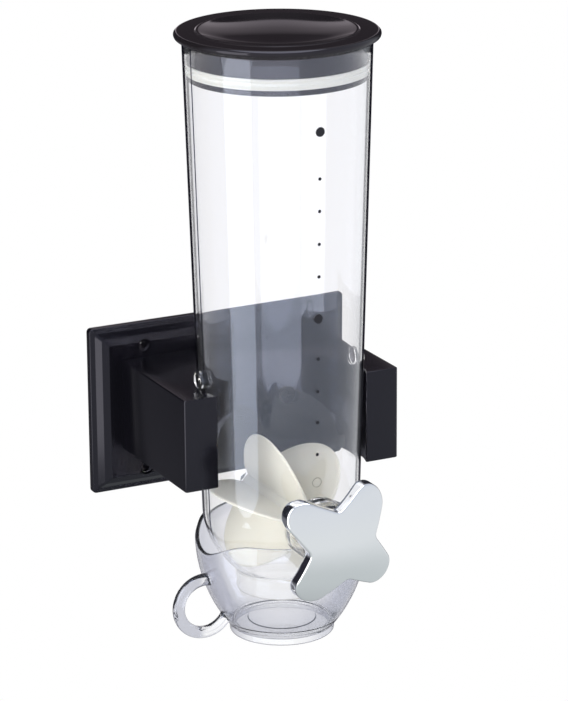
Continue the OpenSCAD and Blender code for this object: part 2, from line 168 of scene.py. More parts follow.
def loft(name, rings, closed, caps=False):
    """Skin over rings of equal length; closed joins the last ring to the first."""
    verts = [v for ring in rings for v in ring]
    n = len(rings[0])
    faces = []
    last = len(rings) if closed else len(rings) - 1
    for j in range(last):
        k = (j + 1) % len(rings)
        for i in range(n):
            m = (i + 1) % n
            faces.append((j * n + i, j * n + m, k * n + m, k * n + i))
    if caps:
        faces += [tuple(range(n)), tuple(range(last * n, last * n + n))]
    return from_data(name, verts, faces)


def place(axis, origin, r, h, a):
    """Point of a turned form: radius r at angle a, height h along its axis."""
    c, s = r * math.cos(a), r * math.sin(a)
    v = {"Z": (c, s, h), "-Y": (c, -h, s), "X": (h, c, s)}[axis]
    return (v[0] + origin[0], v[1] + origin[1], v[2] + origin[2])


def lathe(name, profile, axis="Z", origin=AXIS, n=192, closed=True):
    """Turned form. The profile is a list of (radius, height)."""
    turns = [2 * math.pi * i / n for i in range(n)]
    rings = [[place(axis, origin, r, h, a) for a in turns] for r, h in profile]
    return loft(name, rings, closed)


def post(name, r, h0, h1, origin, n=ROUND):
    """Round post that points away from the wall."""
    return lathe(name, [(0, h0), (r, h0), (r, h1), (0, h1)], "-Y", origin, n, False)


def pillow(name, outline, low, high, edge, n=5):
    """Upright block over an outline, with its top and bottom edges rounded."""
    turns = [math.radians(90 * i / n) for i in range(n + 1)]
    levels = [(edge * (1 - math.sin(a)), low + edge * (1 - math.cos(a))) for a in turns]
    levels += [(edge * (1 - math.cos(a)), high - edge * (1 - math.sin(a))) for a in turns]
    rings = [[(x, y, z) for x, y in inset(outline, depth)] for depth, z in levels]
    return loft(name, rings, closed=False, caps=True)


def block(name, lo, hi):
    """Box between two corners."""
    base = [(lo[0], lo[1]), (hi[0], lo[1]), (hi[0], hi[1]), (lo[0], hi[1])]
    verts = [(x, y, z) for z in (lo[2], hi[2]) for x, y in base]
    faces = [(0, 1, 2, 3), (7, 6, 5, 4)]
    faces += [(i, (i + 1) % 4, 4 + (i + 1) % 4, 4 + i) for i in range(4)]
    return from_data(name, verts, faces)


def combine(ob, other, op):
    """Boolean of two closed meshes; the second one is used up."""
    mod = ob.modifiers.new("cut", "BOOLEAN")
    mod.object = other
    mod.operation = op
    mod.solver = "EXACT"
    dg = bpy.context.evaluated_depsgraph_get()
    me = bpy.data.meshes.new_from_object(ob.evaluated_get(dg))
    old = ob.data
    ob.modifiers.clear()
    ob.data = me
    bpy.data.meshes.remove(old)
    bpy.data.objects.remove(other)
    return ob


def join(name, obs):
    """One object from several closed meshes."""
    bm = bmesh.new()
    for o in obs:
        bm.from_mesh(o.data)
        bpy.data.objects.remove(o)
    me = bpy.data.meshes.new(name)
    bm.to_mesh(me)
    bm.free()
    return link_object(name, me)


def settle(ob, material, body, nodes, angle):
    """Finishes a piece: shading, material, body, slot and the nodes it stands for."""
    ob.data.shade_smooth()
    ob.data.set_sharp_from_angle(angle=math.radians(angle))
    ob.data.materials.clear()
    ob.data.materials.append(material)
    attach(ob, body)
    if nodes:
        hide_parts(*nodes)


# ---------------------------------------------------------------- node graphs

class Graph:
    """A node tree, with a short call for each node that this scene uses.

    A value given to a call is a number, a colour or the output of another call.
    """

    def __init__(self, tree):
        self.nodes, self.link = tree.nodes, tree.links.new

    def feed(self, socket, value):
        if isinstance(value, bpy.types.NodeSocket):
            self.link(value, socket)
        elif socket.type == "RGBA" and len(value) == 3:
            socket.default_value = (*value, 1)
        else:
            socket.default_value = value

    def add(self, kind, values, **settings):
        """New node with its settings, and values for its inputs by name or number."""
        node = self.nodes.new(kind)
        for key, setting in settings.items():
            setattr(node, key, setting)
        for key, value in values.items():
            self.feed(node.inputs[key], value)
        return node

    def coords(self, kind):
        return self.nodes.new("ShaderNodeTexCoord").outputs[kind]

    def axis(self, vector, name):
        return self.add("ShaderNodeSeparateXYZ", {0: vector}).outputs[name]

    def turned(self, vector, scale=(1, 1, 1), degrees=0):
        """Vector stretched and turned about Z."""
        values = {"Vector": vector, "Rotation": (0, 0, math.radians(degrees)), "Scale": scale}
        return self.add("ShaderNodeMapping", values).outputs["Vector"]

    def length(self, x, y):
        flat = self.add("ShaderNodeCombineXYZ", {0: x, 1: y}).outputs[0]
        return self.add("ShaderNodeVectorMath", {0: flat}, operation="LENGTH").outputs["Value"]

    def calc(self, operation, *values):
        return self.add("ShaderNodeMath", dict(enumerate(values)), operation=operation).outputs[0]

    def spread(self, value, lo, hi, to=(0, 1), smooth=False, clamp=True):
        """Maps a value from the span lo to hi onto another span."""
        values = {"Value": value, "From Min": lo, "From Max": hi, "To Min": to[0], "To Max": to[1]}
        kind = "SMOOTHSTEP" if smooth else "LINEAR"
        node = self.add("ShaderNodeMapRange", values, interpolation_type=kind, clamp=clamp)
        return node.outputs["Result"]

    def mix(self, share, a, b):
        """Colour a, or colour b where the share is 1."""
        node = self.add("ShaderNodeMix", {}, data_type="RGBA")
        for key, value in (("Factor", share), ("A", a), ("B", b)):
            self.feed(node.inputs[key], value)
        return node.outputs["Result"]

    def ramp(self, value, stops, interpolation="LINEAR"):
        """Colours along a value, from stops given as (position, colour)."""
        node = self.add("ShaderNodeValToRGB", {0: value})
        node.color_ramp.interpolation = interpolation
        slots = node.color_ramp.elements
        for slot, (where, colour) in zip(slots, (stops[0], stops[-1])):
            slot.position, slot.color = where, (*colour, 1)
        for where, colour in stops[1:-1]:
            slots.new(where).color = (*colour, 1)
        return node.outputs[0]

    def noise(self, scale, detail=2, vector=None):
        values = {"Scale": scale, "Detail": detail, "Vector": vector or self.coords("Object")}
        return self.add("ShaderNodeTexNoise", values).outputs["Fac"]

    def noisy(self, noise, lo, hi):
        """Number between lo and hi that follows a noise, nearly all of which is in 0.3 to 0.7."""
        return self.spread(noise, 0.3, 0.7, to=(lo, hi))

    def bump(self, height, strength, distance):
        values = {"Strength": strength, "Distance": distance, "Height": height}
        return self.add("ShaderNodeBump", values).outputs["Normal"]

    def mix_shader(self, share, a, b):
        return self.add("ShaderNodeMixShader", {0: share, 1: a, 2: b}).outputs[0]


# ---------------------------------------------------------------- materials

def shader(name, **values):
    """New material: (material, graph, function that sets the shader's inputs)."""
    mat = bpy.data.materials.new(name)
    mat.use_nodes = True
    graph = Graph(mat.node_tree)
    inputs = mat.node_tree.nodes["Principled BSDF"].inputs

    def put(**named):
        for key, value in named.items():
            graph.feed(inputs[key.replace("_", " ")], value)

    put(**values)
    return mat, graph, put


def black_plastic(name, dark, light, rough):
    """Moulded plastic, a little uneven in colour and gloss over a very fine grain."""
    mat, graph, put = shader(name, Specular_IOR_Level=0.37, Specular_Tint=(0.98, 0.96, 1.16))
    broad = graph.noise(18, detail=4)
    put(Base_Color=graph.mix(broad, dark, light), Roughness=graph.noisy(broad, *rough))
    put(Normal=graph.bump(graph.noise(240), 0.06, 0.00008))
    return mat


# Where the clear pieces change tone: how upright the normal of a level face is, how far a
# surface leans away where the painted dark line shows, then heights and distances across
LEVEL_SPAN, PAINTED_LINE_FACING_SPAN = (0.90, 0.985), (0.20, 0.50)
BOTTOM_SPAN, HANDLE_SPAN, PAINTED_LINE_HALF_W = (-62 * MM, -76 * MM), (-56 * MM, -60 * MM), 0.9 * MM
# tone of the painted dark line, painted shade for the inner wall's edge seen through the tube
PAINTED_LINE_TONE = (0.01, 0.01, 0.02)


def clear_plastic(name, stops, haze, level=None, bottom=None, handle=None, painted_dark_line=False):
    """Clear moulding with a little haze. It darkens where the eye meets it at a low angle.

    The stops run from a surface seen straight on (0) to one seen edge on (1). Their darkening
    is partly the longer path through the wall and partly painted shade for the dark surroundings
    seen through the edges. Level is the tone of its level faces, bottom that of the canister's
    bottom, painted pale as painted light, and handle the handle's, a flat painted grey.
    """
    mat, graph, put = shader(
        name, Transmission_Weight=1 - haze, IOR=1.49, Roughness=0.0, Specular_Tint=(0.74, 0.84, 1.10))
    facing = graph.add("ShaderNodeLayerWeight", {"Blend": 0.5}).outputs["Facing"]
    tone = graph.ramp(facing, stops)
    if level:
        upright = graph.calc("ABSOLUTE", graph.axis(graph.coords("Normal"), "Z"))
        tone = graph.mix(graph.spread(upright, *LEVEL_SPAN, smooth=True), tone, level)
    if painted_dark_line:
        # painted shade: a dark line down the left side for the inner wall's edge seen through the tube, which
        # shows at a low angle
        on_line = graph.calc("COMPARE", graph.axis(graph.coords("Object"), "Y"), AXIS.y * MM, PAINTED_LINE_HALF_W)
        on_left = graph.calc("LESS_THAN", graph.axis(graph.coords("Object"), "X"), 0)
        line = graph.calc("MULTIPLY", on_left, on_line)
        shows = graph.calc("MULTIPLY", line, graph.spread(facing, *PAINTED_LINE_FACING_SPAN))
        tone = graph.mix(graph.spread(shows, 0, 1, smooth=True), tone, PAINTED_LINE_TONE)
    # painted light: the canister's bottom is painted paler than the rest, so the ball and outlet seen through
    # the cup wash out
    if bottom:
        height = graph.axis(graph.coords("Object"), "Z")
        tone = graph.mix(graph.spread(height, *BOTTOM_SPAN, smooth=True), tone, bottom)
    # painted shade: the handle gets one flat grey in place of the low-angle darkening
    if handle:
        across = graph.axis(graph.coords("Object"), "X")
        tone = graph.mix(graph.spread(across, *HANDLE_SPAN, smooth=True), tone, handle)
    put(Base_Color=tone, Normal=graph.bump(graph.noise(9), 0.03, 0.0003))
    return mat


def chrome(name):
    """Bright plating with a faint waviness."""
    mat, graph, put = shader(name, Metallic=1.0)
    broad = graph.noise(22)
    put(Base_Color=graph.mix(broad, (0.88, 0.895, 0.905), (0.93, 0.935, 0.945)))
    put(Roughness=graph.noisy(broad, 0.045, 0.075), Normal=graph.bump(broad, 0.05, 0.0004))
    return mat


def elastomer(name, dark, light, rough):
    """Soft moulding with a fine matt grain, into which a little light soaks."""
    mat, graph, put = shader(
        name, Subsurface_Weight=0.15, Subsurface_Radius=(0.004, 0.0035, 0.003), Subsurface_Scale=0.5)
    broad = graph.noise(35, detail=4)
    put(Base_Color=graph.mix(broad, dark, light), Roughness=graph.noisy(broad, rough - 0.05, rough + 0.06))
    put(Normal=graph.bump(graph.noise(420), 0.12, 0.0001))
    return mat


def drawn_metal(name, colour, rough):
    """Metal with fine lines along Y, the way it was drawn."""
    mat, graph, put = shader(name, Metallic=1.0)
    lines = graph.noise(4, vector=graph.turned(graph.coords("Object"), scale=(300, 12, 300)))
    put(Base_Color=graph.mix(lines, tuple(c * 0.85 for c in colour), colour))
    put(Roughness=graph.noisy(lines, rough - 0.07, rough + 0.07))
    return mat


BLACK = black_plastic("black_moulding", (0.0012, 0.0010, 0.0022), (0.0026, 0.0024, 0.0040), (0.16, 0.22))
LID_BLACK = black_plastic("lid_moulding", (0.0085, 0.0070, 0.0082), (0.0125, 0.0105, 0.0118), (0.05, 0.08))
SCREW_BLACK = black_plastic("screw_coating", (0.010, 0.010, 0.011), (0.016, 0.016, 0.017), (0.25, 0.40))
# painted shade: the edges darken to near-black for the dark surroundings seen through them, the bottom is
# painted pale and a painted dark line runs down the left side
CLEAR = clear_plastic("clear_canister", (
    (0.45, (0.955, 0.955, 0.972)), (0.68, (0.91, 0.915, 0.94)), (0.765, (0.85, 0.855, 0.885)),
    (0.785, (0.0008, 0.0008, 0.0012)), (1.0, (0.0004, 0.0004, 0.0006))),
    haze=0.006, bottom=(0.985, 0.985, 0.99), painted_dark_line=True)
# the grey-lavender towards the edges is partly the plastic's tint and partly painted shade; the handle gets
# one flat painted grey
CUP_CLEAR = clear_plastic("clear_cup", (
    (0.12, (0.935, 0.94, 0.955)), (0.28, (0.745, 0.75, 0.80)), (0.44, (0.55, 0.56, 0.63)),
    (0.70, (0.50, 0.51, 0.58)), (1.0, (0.62, 0.63, 0.70))),
    haze=0.012, level=(0.88, 0.882, 0.91), handle=(0.57, 0.58, 0.64))
IVORY = elastomer("ivory_elastomer", (0.77, 0.76, 0.69), (0.83, 0.82, 0.76), 0.58)
WHITE = elastomer("white_silicone", (0.66, 0.68, 0.68), (0.72, 0.73, 0.72), 0.50)
GREY = elastomer("grey_moulding", (0.42, 0.43, 0.44), (0.48, 0.49, 0.50), 0.38)
CHROME = chrome("bright_plating")
STEEL = drawn_metal("drawn_steel", (0.62, 0.63, 0.65), 0.30)
PALE_INK = black_plastic("pale_ink", (0.09, 0.085, 0.075), (0.12, 0.115, 0.10), (0.35, 0.50))
INK = black_plastic("black_ink", (0.006, 0.006, 0.007), (0.012, 0.012, 0.013), (0.30, 0.45))


# ---------------------------------------------------------------- wall plate

# Section through the plate's edge: distance in from the edge, distance off the wall, rounding
EDGE_FRONT = ((0, 0), (0, 4.8, 1.1), (3.4, 5.4, 0.8), (6.9, 9.0, 0.7), (11.0, PLATE_T, 1.8), (16, PLATE_T))
EDGE_BACK = (
    (16, PLATE_T - PLATE_WALL), (11.4, PLATE_T - PLATE_WALL), (7.4, 6.4), (4.0, 2.9),
    (PLATE_WALL, 2.6), (PLATE_WALL, 0))
# Screw hole and its bowl-shaped recess: radius, distance off the wall, rounding
RECESS = (
    (0, -1), (WALL_SCREW_R, -1), (WALL_SCREW_R, 8.8, 0.3), (4.0, 9.1, 0.6), (4.5, PLATE_T, 0.25),
    (5.2, 12), (0, 12))


def plate_ring(depth, off_wall, corner):
    """Ring of points round the plate, at a depth in from its edge."""
    x, z = PLATE_W / 2 - depth - corner, PLATE_H / 2 - depth - corner
    out = []
    for sx, sz, a in ((1, 1, 0), (-1, 1, 90), (-1, -1, 180), (1, -1, 270)):
        out += [(px, -off_wall, pz) for px, pz in arc(sx * x, sz * z, corner, a, a + 90, 4)]
    return out


def plate_hollow():
    """Form that trims the ribs to the plate's hollow, where the bevels come down."""
    front = 9.1
    levels = ((1.8, 0), (1.8, 3.4), (6.6, 4.6), (11.2, front), (50, front))
    rings = [plate_ring(depth, off_wall, 1.5) for depth, off_wall in levels]
    count = len(rings[0])
    return loft("hull", [[(0, 0, 0)] * count] + rings + [[(0, -front, 0)] * count], closed=False)


def make_wall_plate():
    corner, least_corner, shrink = 2.6, 0.6, 0.15  # the corners get tighter inwards
    field_in, rib_in, sunk, boss_end, cradle_boss_r = 15, 2.1, 0.4, 9.2, 5
    rings = []
    for depth, off_wall in rounded(EDGE_FRONT, closed=False) + list(EDGE_BACK):
        rings.append(plate_ring(depth, off_wall, max(least_corner, corner - shrink * depth)))
    plate = loft("plate_skin", rings, closed=True)
    x, z, inner = PLATE_W / 2 - field_in, PLATE_H / 2 - field_in, PLATE_T - PLATE_WALL
    plate = combine(plate, block("plate_field", (-x, -PLATE_T, -z), (x, -inner, z)), "UNION")
    x, z, half = PLATE_W / 2 - rib_in, PLATE_H / 2 - rib_in, PLATE_WALL / 2
    ribs = [block("rib", (-x, -inner - sunk, -half), (x, 0, half))]
    for at in (-WALL_SCREW_X, 0, WALL_SCREW_X):
        ribs.append(block("rib", (at - half, -inner - sunk, -z), (at + half, 0, z)))
    for rib in ribs:
        plate = combine(plate, combine(rib, plate_hollow(), "INTERSECT"), "UNION")
    holes = [(x, 0, z) for x in (-WALL_SCREW_X, WALL_SCREW_X) for z in (-WALL_SCREW_Z, WALL_SCREW_Z)]
    for at in holes:
        plate = combine(plate, post("boss", WALL_SCREW_R + 4, 0, boss_end, at), "UNION")
    for x in (-CRADLE_SCREW_X, CRADLE_SCREW_X):
        plate = combine(plate, post("boss", cradle_boss_r, 0, boss_end, (x, 0, ARM_Z)), "UNION")
    for at in holes:
        recess = lathe("cut", rounded(RECESS, closed=False), "-Y", at, ROUND, False)
        plate = combine(plate, recess, "DIFFERENCE")
    settle(plate, BLACK, "bracket", ["wall_plate"], 28)


# ---------------------------------------------------------------- cradle

def make_cradle():
    front_y, edge, corner, bore_corner = -REACH - ARM_FRONT, 0.8, 1.8, 0.9
    end = math.degrees(math.asin(ARM_FRONT / CRADLE_BORE_R))
    bore = arc(0, AXIS.y, CRADLE_BORE_R, -end, 180 + end, 128)
    # room at both ends for the rounding
    bore = [(*bore[0], bore_corner)] + bore[2:-2] + [(*bore[-1], bore_corner)]
    outline = [(ARM_X, -PLATE_T), (-ARM_X, -PLATE_T), (-ARM_X, front_y, corner)]
    outline = rounded(outline + bore[::-1] + [(ARM_X, front_y, corner)], n=6)
    cradle = pillow("cradle_moulding", outline, ARM_Z - ARM_H / 2, ARM_Z + ARM_H / 2, edge)
    for x in (-CRADLE_SCREW_X, CRADLE_SCREW_X):
        head_room = post("cut", CRADLE_HEAD_R, CRADLE_HEAD_Y, 80, (x, 0, ARM_Z), 64)
        cradle = combine(cradle, head_room, "DIFFERENCE")
    settle(cradle, BLACK, "bracket", ["cradle"], 30)


# ---------------------------------------------------------------- canister

def ball(r, r_to, n):
    """Quarter outline of a ball, from the wheel's axis height down to a smaller radius."""
    return arc(0, 0, r, 0, -math.degrees(math.acos(r_to / r)), n)


def tube_profile():
    """Section of the canister's wall: the tapered tube, the ball and the outlet."""
    low_in, outlet_in = CAN_LOW_R - CAN_WALL, OUTLET_R - CAN_WALL
    heights = [300, 260, 220, 180, 150, 120, 105, 96, 90, 84, 75, 60, 45, 32, 24, 18, 12, 6]
    outer = [(CAN_TOP_R, CAN_H, 0.8)] + [(CAN_LOW_R + CAN_SLOPE * h, h) for h in heights]
    outer += ball(CAN_LOW_R, 31.2, 30)
    outer += [(OUTLET_R, -44.5, 2.0), (OUTLET_R, OUTLET_END, 0.8)]
    inner = [(outlet_in, OUTLET_END, 0.8), (outlet_in, -41.2, 0.8)] + ball(low_in, 28.6, 30)[::-1]
    inner += [(low_in + CAN_SLOPE * h, h) for h in reversed(heights)]
    inner += [(CAN_TOP_R - CAN_WALL, CAN_H, 0.8)]
    return rounded(outer + inner, n=4)


def make_collar():
    """Collar behind the knob with the bearing sleeve in it, cut off inside the tube's wall."""
    start, end, floor, sleeve_end, core_top = 38, 80.4, 51.9, 74.4, 40
    profile = rounded([
        (COLLAR_R, start), (COLLAR_R, end, 0.9), (COLLAR_R - CAN_WALL, end, 0.9),
        (COLLAR_R - CAN_WALL, floor, 0.8), (SLEEVE_R, floor, 0.8), (SLEEVE_R, sleeve_end, 0.5),
        (BUSH_R, sleeve_end, 0.3), (BUSH_R, start)], n=4)
    collar = lathe("collar", profile, "-Y", AXIS, 96)
    mid_wall = CAN_LOW_R - CAN_WALL / 2
    core = [(0, core_top), (mid_wall + CAN_SLOPE * core_top, core_top)]
    core += ball(mid_wall, 0.001, 32) + [(0, -mid_wall)]
    return combine(collar, lathe("core", core, "Z", AXIS, 128, False), "DIFFERENCE")


def make_canister():
    tube = lathe("canister_tube", tube_profile(), n=FINE_ROUND)
    tube = combine(tube, make_collar(), "UNION")
    tube = combine(tube, post("bore", BUSH_R, 44, 60, AXIS, 96), "DIFFERENCE")
    # socket for the shaft's tail
    socket = rounded([
        (0, -49.6), (6.5, -49.6), (6.5, -42.1, 0.5), (TAIL_R, -42.1, 0.3), (TAIL_R, -48), (0, -48)],
        closed=False)
    tube = combine(tube, lathe("boss", socket, "-Y", AXIS, ROUND, False), "UNION")
    for side in (-1, 1):
        root, end = 52.3 * side, LUG_END * side
        lug = rounded([(0, root), (LUG_R, root), (LUG_R, end, 1.2), (0, end)], closed=False)
        tube = combine(tube, lathe("lug", lug, "X", (0, AXIS.y, LUG_Z), 64, False), "UNION")
    tube.visible_shadow = False
    settle(tube, CLEAR, "canister", ["canister"], 30)


# Heights of the printed dots, and of the ring below them
BIG_DOTS, BIG_DOT_R = (209.3, 88.7), 3.1
SMALL_DOTS, SMALL_DOT_R = (179.4, 158.6, 137.3, 116.2, 62.2, 40.6, 19.8, -1.6), 1.1
RING_Z, RING_IN, RING_OUT = -20.5, 3.0, 3.25


def mark(z, inner, outer, n=40):
    """Thin disc or ring that lies on the canister's outside."""
    wall_r = CAN_LOW_R + CAN_SLOPE * (z - AXIS.z)
    low, high, least, slope = 0.03, 0.10, 0.0001, 0.0289

    def at(size, a, lift):
        x = size * math.cos(a)
        r = wall_r + lift + slope * size * math.sin(a)
        return (x, AXIS.y - math.sqrt(r * r - x * x), z + size * math.sin(a))

    rings = []
    for size, lift in ((inner, low), (outer, low), (outer, high), (inner, high)):
        rings.append([at(max(size, least), 2 * math.pi * i / n, lift) for i in range(n)])
    return loft("mark", rings, closed=True)


def make_level_marks():
    """Plain printed dots down the front of the canister."""
    dots = [mark(z, 0, BIG_DOT_R) for z in BIG_DOTS] + [mark(z, 0, SMALL_DOT_R) for z in SMALL_DOTS]
    settle(mark(RING_Z, RING_IN, RING_OUT), PALE_INK, "canister", (), 40)
    settle(join("level_marks", dots), INK, "canister", (), 40)


# ---------------------------------------------------------------- lid

def make_lid():
    sag = (DISH_R ** 2 + DISH_DEPTH ** 2) / (2 * DISH_DEPTH)
    middle, dish_share = FLANGE_T - DISH_DEPTH + sag, 0.97  # the rest is the bead's rounding
    end = -90 + math.degrees(math.asin(DISH_R / sag)) * dish_share
    dish = arc(0, middle, sag, -90, end, 20)
    under = arc(0, middle, sag + LID_WALL, end, -90, 20)
    inner_r = GROOVE_R - LID_WALL
    # bead round the dish, flat ring, rounded rim, then the plug with the gasket's groove
    rim = rounded([
        dish[-1], (DISH_R, FLANGE_T, 0.5), (50.9, FLANGE_T, 0.7), (51.7, 6.1, 0.5),
        (63.6, 6.1, 2.2), (65.3, 4.2, 1.9), (64.6, 2.2, 2.0), (61.4, 0.0, 1.2),
        (PLUG_R, 0), (PLUG_R, -SKIRT_H, 0.3), (GROOVE_R, -SKIRT_H), (GROOVE_R, -SKIRT_H - GASKET_H),
        (PLUG_R, -SKIRT_H - GASKET_H, 0.3), (PLUG_R, -PLUG_H, 0.5), (inner_r, -PLUG_H, 0.5),
        (inner_r, 3.2), under[0]], closed=False, n=6)
    profile = dish + rim[1:-1] + under
    lid = lathe("lid_moulding", profile, "Z", (0, AXIS.y, RIM_Z), FINE_ROUND, False)
    settle(lid, LID_BLACK, "lid", ["lid"], 40)


def make_gasket():
    rib_h, rib_r, rib_out = GASKET_H / 2, 57.1, 0.6
    outside = []
    for rib in (0, 1):
        for i in range(rib, 7):
            outside.append((rib_r + rib_out * math.sin(math.radians(30 * i)), rib_h * (rib + i / 6)))
    profile = [(GROOVE_R, GASKET_H), (GROOVE_R, 0)] + outside
    gasket = lathe("gasket", profile, "Z", (0, AXIS.y, RIM_Z - SKIRT_H - GASKET_H), FINE_ROUND)
    settle(gasket, WHITE, "lid", ["lid_gasket"], 50)


# ---------------------------------------------------------------- catch cup

# Control points of the cup's outside: radius, height over its foot
BOWL = ((35, BOWL_FOOT), (45, 17.96), (55.5, 37.99), (56.2, 63))
NECK = ((56.2, 63), (56.2, 68), (54.5, 70), (CUP_RIM_R, CUP_H))


def cup_radius():
    """Function that gives the cup's outside radius at a height."""
    pts = [bezier(BOWL, i / 60) for i in range(61)] + [bezier(NECK, i / 20) for i in range(1, 21)]

    def radius(z):
        for (r0, z0), (r1, z1) in zip(pts, pts[1:]):
            if z <= z1:
                return r0 + (r1 - r0) * (z - z0) / (z1 - z0)
        return pts[-1][0]
    return radius


def cup_section(radius, top):
    """Section of the cup from the middle of its foot round the rim to the middle of its floor."""
    foot_r, steps = 34.2, 40
    foot_in, rise = foot_r - 2.6, top - BOWL_FOOT
    heights = [BOWL_FOOT + rise * k / steps for k in range(1, steps + 1)]
    outer = [(radius(z), z) for z in heights]
    inner = [(r - CUP_WALL, z) for r, z in outer[:1:-1]]
    foot = rounded([
        (0, BOWL_FOOT), (foot_in, BOWL_FOOT, 1.0), (foot_in, 0, 1.0), (foot_r, 0, 1.2),
        (foot_r, 4.6, 0.8), BOWL[0]], closed=False, n=4)
    floor = rounded([
        inner[-1], (31.5, FLOOR_H - 0.5, 2.5), (22.6, FLOOR_H - 0.5, 0.2), (22.0, FLOOR_H, 0.2),
        (0, FLOOR_H)], closed=False, n=4)
    rim = arc(radius(top) - CUP_WALL / 2, top, CUP_WALL / 2, 0, 180, 8)[1:-1]
    return foot + outer + rim + inner + floor[1:]


def make_cup():
    radius = cup_radius()
    origin = (0, AXIS.y, FOOT_Z)
    columns = []
    for i in range(FINE_ROUND):
        a = 2 * math.pi * i / FINE_ROUND
        side = CUP_RIM_R * math.sin(a)
        dip = 0
        if math.cos(a) < 0 and abs(side) < DIP_HALF_W:
            dip = DIP_D * (1 + math.cos(math.pi * side / DIP_HALF_W)) / 2
        section = cup_section(radius, CUP_H - dip - CUP_WALL / 2)
        columns.append([place("Z", origin, r, h, a) for r, h in section])
    cup = loft("cup", list(zip(*columns)), closed=False)
    # the handle ends inside the cup's wall
    mid_wall = [(radius(BOWL_FOOT + k) - CUP_WALL / 2, BOWL_FOOT + k) for k in range(0, 66, 3)]
    inside = lathe("inside", [(0, 5)] + mid_wall + [(0, 71)], "Z", origin, 128, False)
    cup = combine(cup, combine(make_handle(), inside, "DIFFERENCE"), "UNION")
    cup = combine(cup, post("notch", COLLAR_R + 1, 30, 62, AXIS, 96), "DIFFERENCE")
    cup.visible_shadow = False
    settle(cup, CUP_CLEAR, "cup", ["catch_cup"], 34)


def make_handle():
    """Ring handle: a round section with a shallow groove on each face."""
    cx, cz, ring_r, grip_r = -56.09, FOOT_Z + 24.8, 18.1, 4.0
    groove_depth, groove_half = 0.20, 1.1
    rings = []
    for i in range(144):
        a = 2 * math.pi * i / 144
        ring = []
        for k in range(40):
            b = 2 * math.pi * k / 40
            u = grip_r * math.cos(b)
            v = grip_r * math.sin(b) * (1 - groove_depth * math.exp(-(u / groove_half) ** 2))
            ring.append((cx + (ring_r + u) * math.cos(a), AXIS.y + v, cz + (ring_r + u) * math.sin(a)))
        rings.append(ring)
    return loft("handle", rings, closed=True)


# ---------------------------------------------------------------- wheel

def vane_point(s, c, sign):
    """Point of a vane: s from hub to rim, c from its end near the wall to its front end.

    Returned as distance from the hub's axis, distance along it and height off the vane's middle.
    """
    end_angle, sweep = -77, 153  # degrees along the rim
    root_r, root_half = 7.0, 41.0  # where the vane leaves the hub
    rim_half, taper = 0.95, 0.35  # half the thickness at the rim, and what is added at the hub
    flare, flare_fade = 1.6, 2.2  # fillet at the hub
    curl, curl_from, curl_span = 1.3, 10, 38
    psi = math.radians(end_angle + sweep * c)
    rim = Vector((WHEEL_R * math.cos(psi), WHEEL_R * math.sin(psi)))
    p = Vector((root_r, root_half * math.sin(psi))).lerp(rim, s)
    # the high powers round the rim and the ends off
    edge = math.sqrt(max(0.0, 1 - s ** 46)) * math.sqrt(max(0.0, 1 - abs(2 * c - 1) ** 60))
    half = (rim_half + taper * (1 - s)) * edge + flare * math.exp(-(p.x - root_r) / flare_fade) * edge
    bend = -curl * ((p.x - curl_from) / curl_span) ** 2 if p.x > curl_from else 0
    return p.x, p.y, bend + sign * half


def make_vane(angle):
    """One soft vane with rounded edges, as a sheet over its front, rim and back."""
    along = Vector((math.cos(angle), 0, math.sin(angle)))
    across = Vector((-math.sin(angle), 0, math.cos(angle)))
    # closer together towards the rounded rim
    rows = [0, 0.06, 0.12, 0.2, 0.3, 0.4, 0.5, 0.6, 0.7, 0.78, 0.85, 0.9, 0.94, 0.965, 0.982, 0.993, 0.998, 1]
    cols = 48
    verts = []
    path = [(s, 1) for s in rows] + [(s, -1) for s in rows[-2::-1]]
    for s, sign in path:
        for c in range(cols + 1):
            out, depth, height = vane_point(s, c / cols, sign)
            q = along * out + across * height
            verts.append((q.x + AXIS.x, AXIS.y - depth, q.z + AXIS.z))
    w = cols + 1
    faces = []
    for j in range(len(path) - 1):
        for i in range(cols):
            k = j * w + i
            faces.append((k, k + 1, k + w + 1, k + w))
    return from_data("vane", verts, faces)


def make_vanes():
    """Six soft vanes on a hub."""
    parts = [make_vane(math.radians(VANE_TURN + 360 / VANES * k)) for k in range(VANES)]
    back, front = -41.4, 45.3
    hub = rounded([(CORE_R, back), (HUB_R, back, 0.8), (HUB_R, front, 0.8), (CORE_R, front)], n=4)
    parts.append(lathe("hub", hub, "-Y", AXIS, 64))
    settle(join("soft_vanes", parts), IVORY, "rotor", ["paddle_vanes"], 45)


# ---------------------------------------------------------------- knob

def lobe_outline(grow):
    """Four lobes with straight tangent sides and rounded notches."""
    lobe_c = LOBE_REACH - LOBE_R
    notch_c = (NOTCH_R + NOTCH_FILLET) * math.cos(math.pi / 4)
    dx = notch_c - lobe_c
    side = math.atan2(notch_c, dx) - math.acos((LOBE_R + NOTCH_FILLET) / math.hypot(dx, notch_c))
    side = math.degrees(side)
    lobe = arc(lobe_c, 0, LOBE_R + grow, -side, side, 26)
    notch = arc(notch_c, notch_c, NOTCH_FILLET - grow, side + 180, 270 - side, 12)
    next_lobe = (-lobe[0][1], lobe[0][0])
    quarter = lobe + between(lobe[-1], notch[0]) + notch + between(notch[-1], next_lobe)
    out = []
    for k in range(4):
        m = math.radians(45 + 90 * k + KNOB_TURN)
        out += [(x * math.cos(m) - y * math.sin(m), x * math.sin(m) + y * math.cos(m)) for x, y in quarter]
    return out


def knob_ring(grow, depth, shrink=1.0):
    """Ring of the lobes' outline, at a depth under the domed front."""
    pts = []
    for x, z in lobe_outline(grow):
        x, z = x * shrink, z * shrink
        front = KNOB_FRONT - DOME_R + math.sqrt((DOME_R - depth) ** 2 - x * x - z * z)
        pts.append((AXIS.x + x, AXIS.y - front, AXIS.z + z))
    return pts


